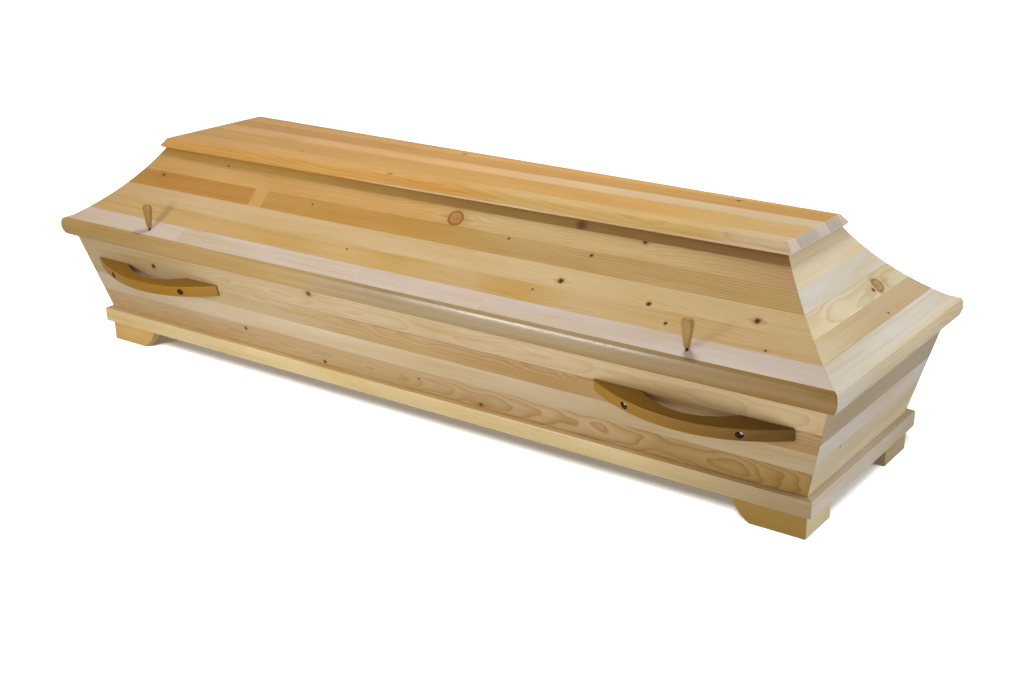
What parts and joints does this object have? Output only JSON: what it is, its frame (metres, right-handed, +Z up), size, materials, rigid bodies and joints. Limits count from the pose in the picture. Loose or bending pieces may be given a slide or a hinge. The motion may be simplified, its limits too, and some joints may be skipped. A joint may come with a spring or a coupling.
{
  "type": "wooden coffin",
  "caption": "Tapered box with outward leaning sides, a hollow-curved lift-off lid with a rounded rim and flat cap, bow handles and bracket feet, for burial",
  "frame": {"origin": "on the floor under the middle of the coffin, at the bottom centre of its bounding box", "axes": "+X runs along the coffin to the narrower foot end, -Y is the front long side, +Z is up"},
  "size_m": [2.05, 0.7368, 0.5165],
  "materials": {
    "pale_pine": "edge-glued pale pine staves under satin lacquer",
    "honey_wood": "honey brown lacquered wood",
    "bright_steel": "bright plated screw heads",
    "dark_iron": "dark browned iron"
  },
  "bodies": {
    "root": {"bottom_board": "pale_pine", "box_board_front": "pale_pine", "box_board_back": "pale_pine", "box_board_head": "pale_pine", "box_board_foot": "pale_pine", "skirting_front": "pale_pine", "skirting_back": "pale_pine", "skirting_head": "pale_pine", "skirting_foot": "pale_pine", "foot_board_front_head": "pale_pine", "foot_board_front_foot": "pale_pine", "foot_board_back_head": "pale_pine", "foot_board_back_foot": "pale_pine", "foot_return_front_head": "pale_pine", "foot_return_front_foot": "pale_pine", "foot_return_back_head": "pale_pine", "foot_return_back_foot": "pale_pine", "lid_board_front": "pale_pine", "lid_board_back": "pale_pine", "lid_board_head": "pale_pine", "lid_board_foot": "pale_pine", "lid_rim_front": "pale_pine", "lid_rim_back": "pale_pine", "lid_rim_head": "pale_pine", "lid_rim_foot": "pale_pine", "lid_cap": "pale_pine", "handle_front_head": "honey_wood", "handle_front_foot": "honey_wood", "handle_back_head": "honey_wood", "handle_back_foot": "honey_wood", "handle_screw_front_head_1": "bright_steel", "handle_screw_front_head_2": "bright_steel", "handle_screw_front_foot_1": "bright_steel", "handle_screw_front_foot_2": "bright_steel", "handle_screw_back_head_1": "bright_steel", "handle_screw_back_head_2": "bright_steel", "handle_screw_back_foot_1": "bright_steel", "handle_screw_back_foot_2": "bright_steel", "lid_screw_head_front_head": "honey_wood", "lid_screw_head_front_foot": "honey_wood", "lid_screw_head_back_head": "honey_wood", "lid_screw_head_back_foot": "honey_wood", "lid_screw_shank_front_head": "dark_iron", "lid_screw_shank_front_foot": "dark_iron", "lid_screw_shank_back_head": "dark_iron", "lid_screw_shank_back_foot": "dark_iron"}
  },
  "joints": []
}
